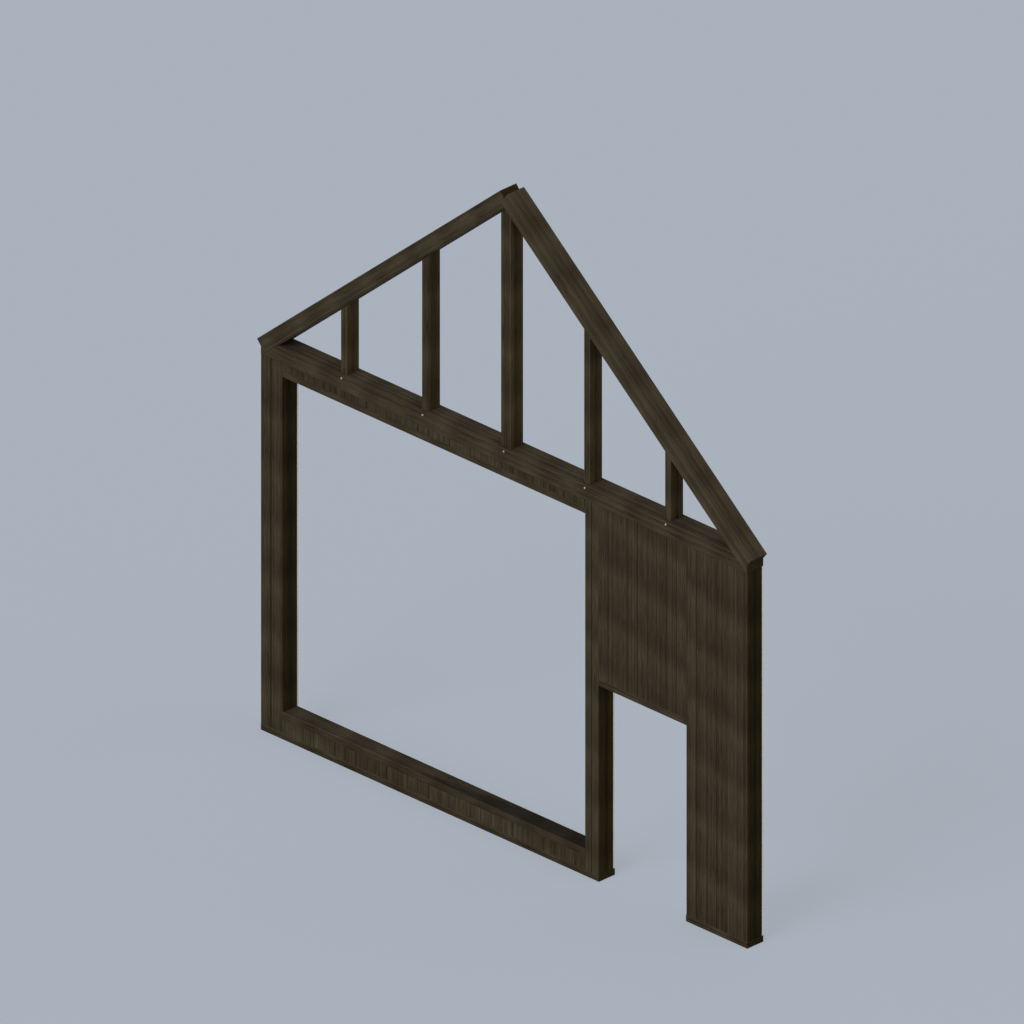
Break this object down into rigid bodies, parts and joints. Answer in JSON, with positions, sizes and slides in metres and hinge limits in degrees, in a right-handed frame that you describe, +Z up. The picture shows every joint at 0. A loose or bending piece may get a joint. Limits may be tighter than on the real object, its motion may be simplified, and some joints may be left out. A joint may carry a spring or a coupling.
{
  "type": "timber frame gable wall",
  "caption": "Free-standing timber gable wall with a wide bay, a doorway, boarded panels and an open rafter gable above its tie plate.",
  "frame": {"origin": "on the underside of the left sole plate, halfway along the wall's length and halfway through its 200 mm depth", "axes": "+X along the wall towards the doorway end, +Y from the boarded front to the lined back, +Z up"},
  "size_m": [6.0964, 0.21, 6.3248],
  "materials": {
    "timber": "dark brown-black stained sawn timber, matt",
    "boards": "dark stained vertical boarding, matt",
    "lining": "pale grey-cream lining board, matt",
    "peg": "weathered unstained hardwood peg"
  },
  "bodies": {
    "root": {"bay_head_rail": "timber", "bay_post_left": "timber", "bay_post_right": "timber", "bay_sill_rail": "timber", "boards_header": "boards", "boards_leg": "boards", "boards_over_door": "boards", "boards_sill": "boards", "corner_post_left": "timber", "corner_post_right": "timber", "door_head_rail": "timber", "door_post_left": "timber", "door_post_right": "timber", "header_beam": "timber", "king_post": "timber", "leg_rail_lower": "timber", "leg_rail_upper": "timber", "lining_head": "lining", "lining_left": "lining", "lining_middle": "lining", "lining_over_door": "lining", "lining_right": "lining", "lining_sill": "lining", "panel_rail": "timber", "peg_1": "peg", "peg_2": "peg", "peg_3": "peg", "peg_4": "peg", "peg_5": "peg", "rafter_left": "timber", "rafter_right": "timber", "sill_beam": "timber", "sole_plate_left": "timber", "sole_plate_right": "timber", "stud_1": "timber", "stud_2": "timber", "stud_3": "timber", "stud_4": "timber", "top_plate": "timber"}
  },
  "joints": []
}
